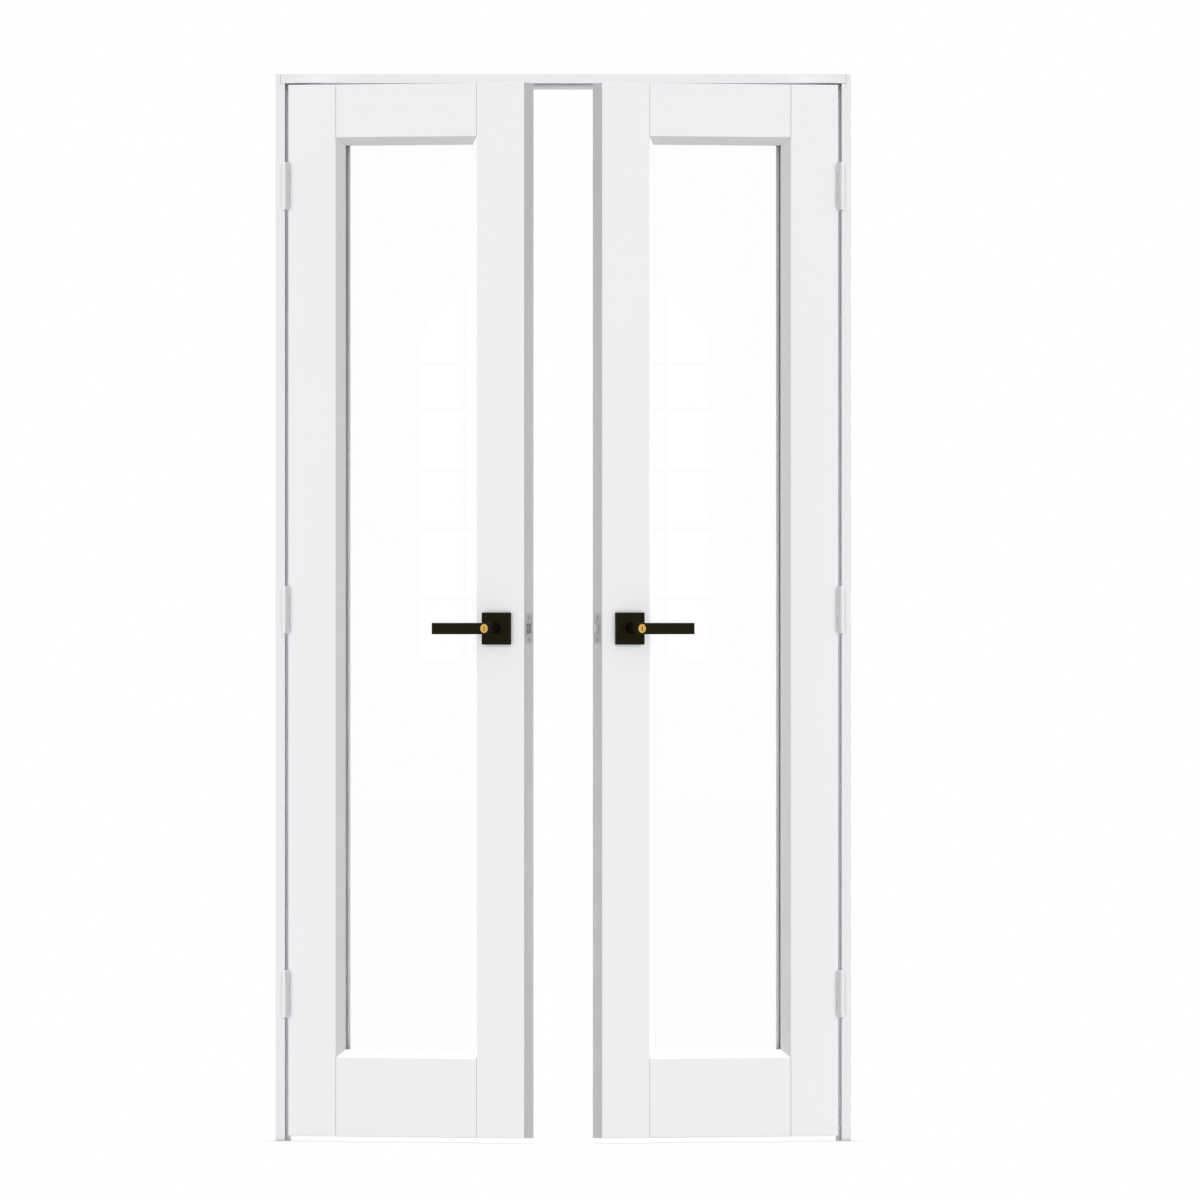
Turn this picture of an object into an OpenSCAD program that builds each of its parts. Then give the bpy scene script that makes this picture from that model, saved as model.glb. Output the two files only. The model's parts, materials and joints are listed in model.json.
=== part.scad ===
// A pair of white glazed french doors, hung ajar in their own slim frame.
// Origin: floor line, middle of the opening, middle of the frame's depth.
// +X to the right, +Y away from the side the leaves swing to, +Z up. Millimetres.

/* [Leaves] */
// Width of one leaf
leaf_w = 533; // [440:1:760]
// Height of one leaf
leaf_h = 2032; // [1650:1:2440]
// Thickness of the leaves
leaf_t = 35; // [35:0.5:44]
// Flat face width of every stile
stile_w = 107; // [88:1:130]
// Flat face height of the top rail
top_rail_h = 102; // [80:1:180]
// Flat face height of the bottom rail
bottom_rail_h = 152; // [120:1:300]
// Width of the fine groove along each rail joint
joint_groove_w = 1.6; // [0.6:0.1:2.4]
// Depth of that groove
joint_groove_d = 0.9; // [0.3:0.1:1.5]
// How far both leaves stand open
ajar = 31; // [0:1:60]

/* [Sticking and glazing] */
// Width of the sloping chamfer round the glass
chamfer_w = 14; // [8:0.5:18]
// Depth of the sloping chamfer
chamfer_d = 10; // [6:0.5:12]
// Width of the small nosing inside the chamfer
nose_w = 2; // [1:0.1:3]
// Depth of the nosing
nose_d = 1.2; // [0.5:0.1:2]
// Thickness of the lip that the glass sits against
lip_t = 3.5; // [2.5:0.1:5]
// Width of the glazing rebate, and of the beads that fill it
rebate_w = 12; // [9:0.5:15]
// Thickness of the glass
glass_t = 4; // [3:0.5:6]
// Thickness of the glazing tape on each side of the glass
tape_t = 0.5; // [0.3:0.1:1]
// Free space round the edge of the glass
glass_gap = 2; // [1:0.5:4]
// How far the tape stays back from the sight line
tape_back = 1.5; // [1:0.1:3]
// Chamfer on the inner corner of each bead
bead_chamfer = 4; // [1:0.5:6]

/* [Frame] */
// Thickness of jambs and head
jamb_t = 18; // [16:1:32]
// Depth of jambs and head, the thickness of the wall
jamb_d = 116; // [110:1:160]
// Depth of the rabbet that takes the head
rabbet_d = 9; // [6:0.5:12]
// Thickness of the stops
stop_t = 11; // [8:0.5:15]
// Depth of the stops
stop_d = 32; // [20:1:40]
// Radius of the wall fixing holes
fixing_r = 4; // [3:0.5:5]
// Height of the lower wall fixing
fixing_low = 420; // [300:10:500]
// Height between the two wall fixings of a jamb
fixing_span = 1240; // [900:10:1300]
// Distance of the wall fixings behind the middle of the frame
fixing_y = 34; // [28:1:44]
// Length of the screws that hold the head
frame_screw_l = 45; // [30:1:60]

/* [Gaps] */
// Gap between leaf and jamb
side_gap = 3; // [2:0.5:4]
// Gap between the two leaves
meeting_gap = 4; // [4:0.5:6]
// Gap between leaf and head
head_gap = 3; // [2:0.5:5]
// Gap under the leaves
undercut = 10; // [6:1:20]
// Gap between leaf and stop
stop_gap = 1; // [0.5:0.5:3]
// Running clearance between a bore and what turns in it
running = 0.05; // [0.02:0.01:0.1]
// Clearance round a screw, dowel, case or neck
loose = 0.2; // [0.1:0.05:0.4]

/* [Hinges] */
// Height of a butt hinge
hinge_h = 89; // [76:1:102]
// Thickness of a hinge plate
plate_t = 2.5; // [2:0.1:3]
// How far a plate reaches in from the face of the leaf
plate_in = 29; // [24:1:31]
// Radius of the barrel
barrel_r = 6.3; // [5:0.1:7]
// Radius of the hinge pin
pin_r = 3.15; // [2.5:0.05:4]
// Radius of the button on top of the pin
button_r = 5; // [4:0.5:6]
// Height of that button
button_h = 2.5; // [1.5:0.5:4]
// Space between the barrel and the face of the leaf
barrel_clear = 0.5; // [0.3:0.1:1]
// Space between neighbouring knuckles
knuckle_gap = 0.3; // [0.2:0.1:0.6]
// Distance of the top hinge below the top of the leaf
hinge_from_top = 152; // [120:1:200]
// Distance of the bottom hinge above the bottom of the leaf
hinge_from_bottom = 229; // [180:1:260]
// Height of the upper and lower screws from the middle of a hinge
screw_rise = 31; // [24:1:36]
// Depth of the middle screw from the face
screw_in = 20; // [18:1:22]
// Depth of the outer screws from the face
screw_out = 10; // [8:1:12]
// Length of the screws in a jamb
jamb_screw_l = 16; // [12:1:18]
// Length of the screws in a leaf
leaf_screw_l = 25; // [18:1:40]

/* [Locks] */
// Height of the levers above the bottom of the leaf
lever_z = 981; // [850:1:1100]
// Distance of the spindle from the meeting edge
backset = 60; // [55:1:70]
// Side of the square rose
rose_s = 62; // [58:1:70]
// Thickness of the rose
rose_t = 9; // [6:0.5:12]
// Length of the lever bar
bar_l = 130; // [100:1:140]
// Height of the lever bar
bar_h = 22; // [20:0.5:26]
// Thickness of the lever bar
bar_t = 11; // [9:0.5:14]
// Rim of the bar round the key plug, at its free-edge end
bar_rim = 3; // [2:0.5:6]
// Distance from the leaf's face to the front of the bar
bar_out = 50; // [45:1:60]
// Radius of the lever's neck
neck_r = 11; // [9.5:0.5:12]
// How far the neck reaches into the lock bore
neck_in = 2; // [1:0.5:3]
// Side of the square spindle
spindle_s = 8; // [7:0.5:9]
// How far the spindle reaches into each neck
spindle_in = 22; // [14:1:24]
// Radius of the bore that the lock sits in
cross_r = 27; // [25:0.5:28]
// Distance of the gear case from each face of the leaf
case_from = 4; // [3:0.5:6]
// Distance of the roses' through bolts from the spindle
rose_bolt_off = 19; // [16:0.5:22]
// Metal left in front of those bolts in the outer rose
rose_bolt_end = 4; // [2:0.5:6]
// Radius of the key plug's face
plug_r = 8.5; // [7:0.5:9]
// Radius of the key plug's barrel
plug_barrel_r = 6.5; // [5:0.5:7]
// Length of the key plug's face
plug_face_l = 6; // [4:0.5:8]
// Whole length of the key plug
plug_l = 22; // [16:1:24]
// How far the key plug stands out of the bar
plug_proud = 0.6; // [0:0.1:1.5]
// Height of the keyway
keyway_h = 9; // [6:0.5:10]
// Width of the keyway
keyway_w = 1.6; // [1.2:0.1:2.2]
// Depth of the keyway
keyway_d = 14; // [8:1:16]
// How far the turn button's grip stands out
grip_out = 9; // [6:0.5:14]
// Thickness of that grip
grip_t = 4; // [3:0.5:6]
// Height of the edge plates
edge_plate_h = 57; // [52:1:64]
// Width of the edge plates
edge_plate_w = 25; // [22:0.5:28]
// Radius of the latch case
latch_case_r = 11.8; // [10:0.1:12]
// Width of the latch bolt
latch_w = 12; // [10:0.5:14]
// Height of the latch bolt
latch_h = 16; // [14:0.5:18]
// Throw of the latch bolt
latch_throw = 12; // [8:0.5:14]
// Whole length of the latch bolt
latch_l = 34; // [24:1:36]
// Distance of the edge plates' screws from the latch
edge_screw_z = 21; // [19:0.5:24]
// Length of those screws
edge_screw_l = 18; // [12:1:22]
// Depth of the pocket behind the strike plate
pocket_d = 14; // [12:0.5:20]
// Space round the latch bolt in the strike plate
strike_ease = 1.5; // [1:0.1:2.5]
// Radius of the top and bottom bolts
rod_r = 4; // [3:0.5:5]
// Throw of the top and bottom bolts
rod_throw = 12; // [8:0.5:14]
// How far a retracted bolt lies below the leaf's end
rod_back = 0.5; // [0:0.1:2]
// Length of the plates that guide those bolts
guide_l = 40; // [30:1:60]
// Width of those plates
guide_w = 20; // [16:1:24]
// How far a retracted bolt reaches into the gear case, from the spindle
rod_in_case = 12; // [10:1:16]
// Depth of the socket in the head for the top bolt
socket_d = 12; // [12:0.5:14]

/* [Screws and dowels] */
// Radius of every screw
screw_r = 2; // [1.5:0.1:2.5]
// Radius of a screw's countersunk head
head_r = 3.8; // [3:0.1:4.5]
// Height of that head
head_h = 1.8; // [1.2:0.1:2.4]
// Radius of the dowels in the rail joints
dowel_r = 5; // [4:0.5:6]
// How far a dowel reaches into its rail
dowel_in_rail = 40; // [25:1:60]
// Wood left between a dowel's end in its stile and the channel of a bolt
dowel_wall = 2; // [2:0.5:20]

/* [Hidden] */
$fn = 48;
left = -1;
right = 1;
eps = 0.01;
white = [0.94, 0.94, 0.95];
timber = [0.85, 0.7, 0.5];
clear_glass = [0.85, 0.93, 0.95, 0.35];
bronze = [0.13, 0.12, 0.06];
brass = [0.82, 0.65, 0.35];
steel = [0.72, 0.72, 0.73];

stick_w = chamfer_w + nose_w;
lip_front = chamfer_d + nose_d;
lip_back = lip_front + lip_t;
glass_front = lip_back + tape_t;
bead_front = glass_front + glass_t + tape_t;
mid_t = leaf_t / 2;
// Edges of the glazing rebate, measured on the leaf
rebate_u = stile_w + stick_w - rebate_w;
rebate_low = bottom_rail_h + stick_w - rebate_w;
rebate_high = leaf_h - top_rail_h - stick_w + rebate_w;
rebate_across = leaf_w - 2 * rebate_u;
rebate_up = rebate_high - rebate_low;

opening_w = 2 * leaf_w + 2 * side_gap + meeting_gap;
opening_h = undercut + leaf_h + head_gap;
frame_front = -jamb_d / 2;
stop_y = frame_front + leaf_t + stop_gap;
frame_screw_ys = [for (k = [-1, 0, 1]) k * jamb_d / 3];

pin_out = barrel_r + barrel_clear;
pin_x = opening_w / 2 - side_gap / 2;
pin_y = frame_front - pin_out;
knuckle_h = (hinge_h - 4 * knuckle_gap) / 5;
knuckle_step = knuckle_h + knuckle_gap;
hinge_zs = [hinge_from_bottom + hinge_h / 2, leaf_h / 2, leaf_h - hinge_from_top - hinge_h / 2];
hinge_screws = [[screw_out, -screw_rise], [screw_in, 0], [screw_out, screw_rise]];
top_dowels = [for (k = [1, 3]) leaf_h - k * top_rail_h / 4];
bottom_dowels = [for (k = [1, 3, 5]) k * bottom_rail_h / 6];

lever_u = leaf_w - backset;
bar_end = plug_r + bar_rim;
hub_r = spindle_s / sqrt(2) + loose;
channel_r = rod_r + 1;
latch_slot_l = latch_l + 2;

// ---- Places ----

// The right half of the frame is the left half, mirrored
module on_side(side) {
    mirror([side > 0 ? 1 : 0, 0, 0]) children();
}

// Leaf coordinates: x from the hinge edge, y in from the front face, z from the bottom
module on_leaf(side) {
    on_side(side)
        translate([-pin_x, pin_y, 0])
        rotate([0, 0, -ajar])
        translate([side_gap / 2, pin_out, undercut])
        children();
}

// From the far edge of a leaf, mirrored, for its lock stile
module from_far_edge() {
    translate([leaf_w, 0, 0]) mirror([1, 0, 0]) children();
}

// At the spindle, y still in from the front face of the leaf
module at_spindle() {
    translate([lever_u, 0, lever_z]) children();
}

// The back of the leaf, as seen from the front
module at_back() {
    translate([0, leaf_t, 0]) mirror([0, 1, 0]) children();
}

// A cylinder along y, from y0 to y1
module y_rod(r, y0, y1) {
    translate([0, y0, 0]) rotate([-90, 0, 0]) cylinder(h = y1 - y0, r = r);
}

// A cylinder along x, from x0 to x1
module x_rod(r, x0, x1) {
    translate([x0, 0, 0]) rotate([0, 90, 0]) cylinder(h = x1 - x0, r = r);
}

// A countersunk screw along +x, its head's face at x = 0
module x_screw(length, ease = 0) {
    rotate([0, 90, 0]) {
        cylinder(h = length + ease, r = screw_r + ease);
        cylinder(h = head_h + ease, r1 = head_r + ease, r2 = screw_r + ease);
    }
}

// ---- Hinges ----

// One knuckle's cylinder round z
module knuckle(k) {
    translate([0, 0, -hinge_h / 2 + k * knuckle_step]) cylinder(h = knuckle_h, r = barrel_r);
}

// Plate from x = 0 to plate_t and from y = 0 inwards, with its knuckles at the pin.
// pin_side is the pin's distance in x from the outer face of the plate.
module hinge_plate(first, pin_side) {
    difference() {
        union() {
            translate([0, 0, -hinge_h / 2]) cube([plate_t, plate_in, hinge_h]);
            for (k = [first : 2 : 4]) {
                translate([-pin_side, -pin_out, 0]) knuckle(k);
                translate([0, -pin_out, -hinge_h / 2 + k * knuckle_step])
                    cube([plate_t, pin_out + eps, knuckle_h]);
            }
        }
        translate([-pin_side, -pin_out, -hinge_h]) cylinder(h = 2 * hinge_h, r = pin_r + running);
        for (p = hinge_screws) translate([0, p[0], p[1]]) x_screw(leaf_screw_l, running);
    }
}

// Both mortises share this recess: the plate itself and its screw holes
module hinge_recess(length) {
    translate([-eps, -eps, -hinge_h / 2]) cube([plate_t + eps, plate_in + eps, hinge_h]);
    for (p = hinge_screws) translate([0, p[0], p[1]]) x_screw(length, running);
}

// In the jamb, plates lie on the other side of the gap
module at_jamb_hinges() {
    for (z = hinge_zs)
        translate([-opening_w / 2, frame_front, undercut + z]) mirror([1, 0, 0]) children();
}

module at_leaf_hinges() {
    for (z = hinge_zs) translate([0, 0, z]) children();
}

module hinge_frame_plates(side) {
    color(white) on_side(side) at_jamb_hinges() hinge_plate(0, side_gap / 2);
}

module hinge_leaf_plates(side) {
    color(white) on_leaf(side) at_leaf_hinges() hinge_plate(1, side_gap / 2);
}

module hinge_pins(side) {
    color(white) on_side(side)
        for (z = hinge_zs) translate([-pin_x, pin_y, undercut + z]) {
            translate([0, 0, -hinge_h / 2]) cylinder(h = hinge_h, r = pin_r);
            translate([0, 0, hinge_h / 2]) cylinder(h = button_h, r = button_r);
        }
}

module hinge_frame_screws(side) {
    color(steel) on_side(side) at_jamb_hinges()
        for (p = hinge_screws) translate([0, p[0], p[1]]) x_screw(jamb_screw_l);
}

module hinge_leaf_screws(side) {
    color(steel) on_leaf(side) at_leaf_hinges()
        for (p = hinge_screws) translate([0, p[0], p[1]]) x_screw(leaf_screw_l);
}

// ---- Frame ----

// Screws from the outside of a jamb into the end of the head
module head_screws(ease = 0) {
    for (y = frame_screw_ys)
        translate([-opening_w / 2 - jamb_t, y, opening_h + jamb_t / 2]) x_screw(frame_screw_l, ease);
}

module jamb(side) {
    color(white) on_side(side) difference() {
        translate([-opening_w / 2 - jamb_t, frame_front, 0]) cube([jamb_t, jamb_d, opening_h + jamb_t]);
        translate([-opening_w / 2 - rabbet_d, frame_front - eps, opening_h])
            cube([rabbet_d + eps, jamb_d + 2 * eps, jamb_t + eps]);
        at_jamb_hinges() hinge_recess(jamb_screw_l);
        head_screws(running);
        for (z = [fixing_low, fixing_low + fixing_span])
            translate([0, fixing_y, z]) x_rod(fixing_r, -opening_w / 2 - 2 * jamb_t, -opening_w / 2 + jamb_t);
    }
}

module head() {
    color(white) difference() {
        translate([-opening_w / 2 - rabbet_d, frame_front, opening_h])
            cube([opening_w + 2 * rabbet_d, jamb_d, jamb_t]);
        for (side = [left, right]) on_side(side) head_screws(running);
        // Socket for the top bolt of the left leaf
        translate([-pin_x + side_gap / 2 + lever_u, frame_front + mid_t, opening_h - eps])
            cylinder(h = socket_d, r = rod_r + strike_ease);
    }
}

module stop(side) {
    color(white) on_side(side)
        translate([-opening_w / 2, stop_y, 0]) cube([stop_t, stop_d, opening_h - stop_t]);
}

module stop_head() {
    color(white)
        translate([-opening_w / 2, stop_y, opening_h - stop_t]) cube([opening_w, stop_d, stop_t]);
}

module frame_screws() {
    color(steel) for (side = [left, right]) on_side(side) head_screws();
}

// ---- Leaves ----

// Section of a stile or rail: a runs from the outer edge, b in from the face
function stick_section(face) = [
    [0, 0], [face, 0], [face + chamfer_w, chamfer_d], [face + stick_w, lip_front],
    [face + stick_w, lip_back], [face + stick_w - rebate_w, lip_back],
    [face + stick_w - rebate_w, leaf_t], [0, leaf_t]
];

// The whole stile, running the height of the leaf
module stile_blank() {
    linear_extrude(height = leaf_h) polygon(stick_section(stile_w));
}

// A rail that stands on z = 0, with its sticking at the top, coped over both stiles
module rail_blank(face) {
    difference() {
        translate([stile_w, 0, 0]) rotate([90, 0, 90])
            linear_extrude(height = leaf_w - 2 * stile_w)
            polygon([for (p = stick_section(face)) [p[1], p[0]]]);
        stile_blank();
        from_far_edge() stile_blank();
    }
}

// A bottom rail turned over, for the top of the leaf
module at_top() {
    translate([0, 0, leaf_h]) mirror([0, 0, 1]) children();
}

// Fine grooves on the face along the four rail joints
module joint_grooves() {
    for (far = [0, 1]) translate([far * (leaf_w - 2 * stile_w), 0, 0])
        for (span = [[0, bottom_rail_h], [leaf_h - top_rail_h, leaf_h]])
            translate([stile_w, 0, span[0] - eps])
            linear_extrude(height = span[1] - span[0] + 2 * eps)
            polygon([[-joint_groove_w / 2, -eps], [joint_groove_w / 2, -eps], [0, joint_groove_d]]);
}

module dowel_set(ease = 0) {
    in_stile = stile_w - backset - channel_r - dowel_wall + ease;
    in_rail = dowel_in_rail + ease;
    for (z = concat(bottom_dowels, top_dowels)) {
        translate([stile_w, mid_t, z]) x_rod(dowel_r + ease, -in_stile, in_rail);
        translate([leaf_w - stile_w, mid_t, z]) x_rod(dowel_r + ease, -in_rail, in_stile);
    }
}

module hinge_stile(side) {
    color(white) on_leaf(side) difference() {
        stile_blank();
        joint_grooves();
        dowel_set(running);
        at_leaf_hinges() hinge_recess(leaf_screw_l);
    }
}

// A lock stile with the bore for its lock; children are the rest of what is cut away
module lock_stile(side) {
    color(white) on_leaf(side) difference() {
        from_far_edge() stile_blank();
        joint_grooves();
        dowel_set(running);
        at_spindle() y_rod(cross_r, -1, leaf_t + 1);
        edge_plate_blank(eps);
        edge_screws(running);
        children();
    }
}

module lock_stile_left() {
    lock_stile(left) {
        at_latch_line()
            translate([-plate_t - pocket_d, -latch_w / 2 - strike_ease, -latch_h / 2 - strike_ease])
            cube([pocket_d + eps, latch_w + 2 * strike_ease, latch_h + 2 * strike_ease]);
        translate([lever_u, mid_t, -1]) cylinder(h = leaf_h + 2, r = channel_r);
        bolt_guide_blank(eps);
        at_top() bolt_guide_blank(eps);
    }
}

module lock_stile_right() {
    lock_stile(right) {
        translate([lever_u, mid_t, lever_z]) x_rod(latch_case_r + loose, 0, backset);
    }
}

module bottom_rail(side) {
    color(white) on_leaf(side) difference() {
        rail_blank(bottom_rail_h);
        joint_grooves();
        dowel_set(running);
    }
}

module top_rail(side) {
    color(white) on_leaf(side) difference() {
        at_top() rail_blank(top_rail_h);
        joint_grooves();
        dowel_set(running);
    }
}

module dowels(side) {
    color(timber) on_leaf(side) dowel_set();
}

module glass(side) {
    color(clear_glass) on_leaf(side)
        translate([rebate_u + glass_gap, glass_front, rebate_low + glass_gap])
        cube([rebate_across - 2 * glass_gap, glass_t, rebate_up - 2 * glass_gap]);
}

// A frame of tape over the edge of the glass
module tape_ring(y) {
    back = rebate_w - tape_back;
    difference() {
        translate([rebate_u + glass_gap, y, rebate_low + glass_gap])
            cube([rebate_across - 2 * glass_gap, tape_t, rebate_up - 2 * glass_gap]);
        translate([rebate_u + back, y - 1, rebate_low + back])
            cube([rebate_across - 2 * back, tape_t + 2, rebate_up - 2 * back]);
    }
}

module glazing_tape(side) {
    color(white) on_leaf(side) for (y = [lip_back, glass_front + glass_t]) tape_ring(y);
}

// A bead along z from 0 to length, against the stile at x = 0, mitred at both ends
module bead(length) {
    intersection() {
        linear_extrude(height = length)
            polygon([[0, bead_front], [rebate_w, bead_front], [rebate_w, leaf_t - bead_chamfer],
                     [rebate_w - bead_chamfer, leaf_t], [0, leaf_t]]);
        translate([0, leaf_t + 1, 0]) rotate([90, 0, 0])
            linear_extrude(height = leaf_t + 2)
            polygon([[0, 0], [rebate_w, rebate_w], [rebate_w, length - rebate_w], [0, length]]);
    }
}

module side_beads(side) {
    color(white) on_leaf(side) {
        translate([rebate_u, 0, rebate_low]) bead(rebate_up);
        from_far_edge() translate([rebate_u, 0, rebate_low]) bead(rebate_up);
    }
}

module cross_beads(side) {
    color(white) on_leaf(side) {
        translate([leaf_w - rebate_u, 0, rebate_low]) rotate([0, -90, 0]) bead(rebate_across);
        translate([rebate_u, 0, rebate_high]) rotate([0, 90, 0]) bead(rebate_across);
    }
}

// ---- Locks ----

// Middle of the meeting edge at the latch, x out of the edge
module at_latch_line() {
    translate([leaf_w, mid_t, lever_z]) children();
}

module edge_plate_blank(ease = 0) {
    at_latch_line() translate([-plate_t, -edge_plate_w / 2, -edge_plate_h / 2])
        cube([plate_t + ease, edge_plate_w, edge_plate_h]);
}

module edge_screws(ease = 0) {
    at_latch_line() for (k = [-1, 1])
        translate([0, 0, k * edge_screw_z]) mirror([1, 0, 0]) x_screw(edge_screw_l, ease);
}

// Through bolts that draw the two roses together, beside or above the spindle
module rose_bolts(angle, ease = 0) {
    at_spindle() for (k = [-1, 1]) rotate([0, angle, 0]) translate([k * rose_bolt_off, 0, 0]) {
        y_rod(screw_r + ease, -rose_t + rose_bolt_end - ease, leaf_t + rose_t);
        translate([0, leaf_t + rose_t, 0]) rotate([90, 0, 0])
            cylinder(h = head_h + ease, r1 = head_r + ease, r2 = screw_r + ease);
    }
}

module rose_blank() {
    difference() {
        at_spindle() translate([-rose_s / 2, -rose_t, -rose_s / 2]) cube([rose_s, rose_t, rose_s]);
        at_spindle() y_rod(neck_r + loose, -rose_t - 1, 1);
    }
}

module rose_outer(side, angle) {
    color(bronze) on_leaf(side) difference() {
        rose_blank();
        rose_bolts(angle, running);
    }
}

module rose_inner(side, angle) {
    color(bronze) on_leaf(side) difference() {
        at_back() rose_blank();
        rose_bolts(angle, running);
    }
}

module spindle_bar(ease = 0) {
    s = spindle_s + 2 * ease;
    at_spindle() translate([-s / 2, -spindle_in - ease, -s / 2])
        cube([s, leaf_t + 2 * spindle_in + 2 * ease, s]);
}

// Key plug or turn button shape: a face and a thinner barrel behind it
module plug_blank(ease = 0) {
    y0 = -bar_out - plug_proud;
    at_spindle() {
        y_rod(plug_r + ease, y0 - ease, y0 + plug_face_l + ease);
        y_rod(plug_barrel_r + ease, y0, y0 + plug_l + ease);
    }
}

module lever_blank() {
    difference() {
        union() {
            at_spindle() y_rod(neck_r, -bar_out + bar_t / 2, neck_in);
            at_spindle() translate([bar_end - bar_l, -bar_out, -bar_h / 2]) cube([bar_l, bar_t, bar_h]);
        }
        plug_blank(running);
    }
}

module lever_outer(side) {
    color(bronze) on_leaf(side) difference() {
        lever_blank();
        spindle_bar(loose / 2);
    }
}

module lever_inner(side) {
    color(bronze) on_leaf(side) difference() {
        at_back() lever_blank();
        spindle_bar(loose / 2);
    }
}

module spindle(side) {
    color(steel) on_leaf(side) spindle_bar();
}

module key_plug(side) {
    color(brass) on_leaf(side) difference() {
        plug_blank();
        at_spindle() translate([-keyway_w / 2, -bar_out - plug_proud - 1, -keyway_h / 2])
            cube([keyway_w, keyway_d + 1, keyway_h]);
    }
}

module turn_button(side) {
    color(bronze) on_leaf(side) at_back() {
        plug_blank();
        at_spindle() translate([-grip_t / 2, -bar_out - plug_proud - grip_out, -plug_barrel_r])
            cube([grip_t, grip_out + 1, 2 * plug_barrel_r]);
    }
}

module lock_screws(side, angle) {
    color(steel) on_leaf(side) {
        rose_bolts(angle);
        edge_screws();
    }
}

// Gear case of the left lock: turns the spindle's motion into the rods'
module gear_case_left() {
    color(steel) on_leaf(left) difference() {
        at_spindle() y_rod(cross_r - loose, case_from, leaf_t - case_from);
        at_spindle() y_rod(hub_r, 0, leaf_t);
        rose_bolts(0, running);
        translate([lever_u, mid_t, lever_z + rod_in_case - rod_throw])
            cylinder(h = 2 * cross_r, r = rod_r + running);
        translate([lever_u, mid_t, lever_z - rod_in_case + rod_throw]) mirror([0, 0, 1])
            cylinder(h = 2 * cross_r, r = rod_r + running);
    }
}

module strike_plate_left() {
    color(steel) on_leaf(left) difference() {
        edge_plate_blank();
        edge_screws(running);
        at_latch_line()
            translate([-plate_t - 1, -latch_w / 2 - strike_ease, -latch_h / 2 - strike_ease])
            cube([plate_t + 2, latch_w + 2 * strike_ease, latch_h + 2 * strike_ease]);
    }
}

// A bolt runs from the gear case to just below the end of the leaf
module bolt_rod(length) {
    translate([lever_u, mid_t, leaf_h - rod_back - length]) {
        cylinder(h = length - rod_r / 2, r = rod_r);
        translate([0, 0, length - rod_r / 2]) cylinder(h = rod_r / 2, r1 = rod_r, r2 = rod_r / 2);
    }
}

module top_bolt_left() {
    color(steel) on_leaf(left) bolt_rod(leaf_h - rod_back - lever_z - rod_in_case);
}

module bottom_bolt_left() {
    color(steel) on_leaf(left) at_top() bolt_rod(lever_z - rod_in_case - rod_back);
}

module bolt_guide_blank(ease = 0) {
    translate([lever_u - guide_l / 2, mid_t - guide_w / 2, -ease]) cube([guide_l, guide_w, plate_t + ease]);
}

module bolt_guide() {
    difference() {
        bolt_guide_blank();
        translate([lever_u, mid_t, -1]) cylinder(h = plate_t + 2, r = rod_r + running);
    }
}

module bolt_guides_left() {
    color(steel) on_leaf(left) {
        bolt_guide();
        at_top() bolt_guide();
    }
}

// The latch bolt, with its sloping side towards the back of the leaf
module latch_bolt_right() {
    color(steel) on_leaf(right) at_latch_line() translate([0, 0, -latch_h / 2])
        linear_extrude(height = latch_h)
        polygon([[latch_throw - latch_l, -latch_w / 2], [latch_throw, -latch_w / 2],
                 [latch_throw, -latch_w / 4], [1, latch_w / 2], [latch_throw - latch_l, latch_w / 2]]);
}

module latch_slot(from, ease) {
    at_latch_line() translate([from, -latch_w / 2 - ease, -latch_h / 2 - ease])
        cube([-from + 1, latch_w + 2 * ease, latch_h + 2 * ease]);
}

module latch_case_right() {
    color(steel) on_leaf(right) difference() {
        translate([lever_u, mid_t, lever_z]) x_rod(latch_case_r, -latch_case_r - hub_r, backset - plate_t);
        at_spindle() y_rod(hub_r, 0, leaf_t);
        latch_slot(-latch_slot_l, loose);
    }
}

module faceplate_right() {
    color(steel) on_leaf(right) difference() {
        edge_plate_blank();
        edge_screws(running);
        latch_slot(-plate_t - 1, loose);
    }
}

// ---- Nodes ----

jamb(left);  // jamb_left
jamb(right);  // jamb_right
head();
stop(left);  // stop_left
stop(right);  // stop_right
stop_head();
frame_screws();
hinge_frame_plates(left);  // hinge_frame_plates_left
hinge_frame_plates(right);  // hinge_frame_plates_right
hinge_pins(left);  // hinge_pins_left
hinge_pins(right);  // hinge_pins_right
hinge_frame_screws(left);  // hinge_frame_screws_left
hinge_frame_screws(right);  // hinge_frame_screws_right
hinge_stile(left);  // hinge_stile_left
lock_stile_left();
top_rail(left);  // top_rail_left
bottom_rail(left);  // bottom_rail_left
dowels(left);  // dowels_left
glass(left);  // glass_left
glazing_tape(left);  // glazing_tape_left
side_beads(left);  // side_beads_left
cross_beads(left);  // cross_beads_left
hinge_leaf_plates(left);  // hinge_leaf_plates_left
hinge_leaf_screws(left);  // hinge_leaf_screws_left
rose_outer(left, 0);  // rose_outer_left
rose_inner(left, 0);  // rose_inner_left
lever_outer(left);  // lever_outer_left
lever_inner(left);  // lever_inner_left
spindle(left);  // spindle_left
key_plug(left);  // key_plug_left
turn_button(left);  // turn_button_left
lock_screws(left, 0);  // lock_screws_left
gear_case_left();
strike_plate_left();
top_bolt_left();
bottom_bolt_left();
bolt_guides_left();
hinge_stile(right);  // hinge_stile_right
lock_stile_right();
top_rail(right);  // top_rail_right
bottom_rail(right);  // bottom_rail_right
dowels(right);  // dowels_right
glass(right);  // glass_right
glazing_tape(right);  // glazing_tape_right
side_beads(right);  // side_beads_right
cross_beads(right);  // cross_beads_right
hinge_leaf_plates(right);  // hinge_leaf_plates_right
hinge_leaf_screws(right);  // hinge_leaf_screws_right
rose_outer(right, 90);  // rose_outer_right
rose_inner(right, 90);  // rose_inner_right
lever_outer(right);  // lever_outer_right
lever_inner(right);  // lever_inner_right
spindle(right);  // spindle_right
key_plug(right);  // key_plug_right
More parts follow.
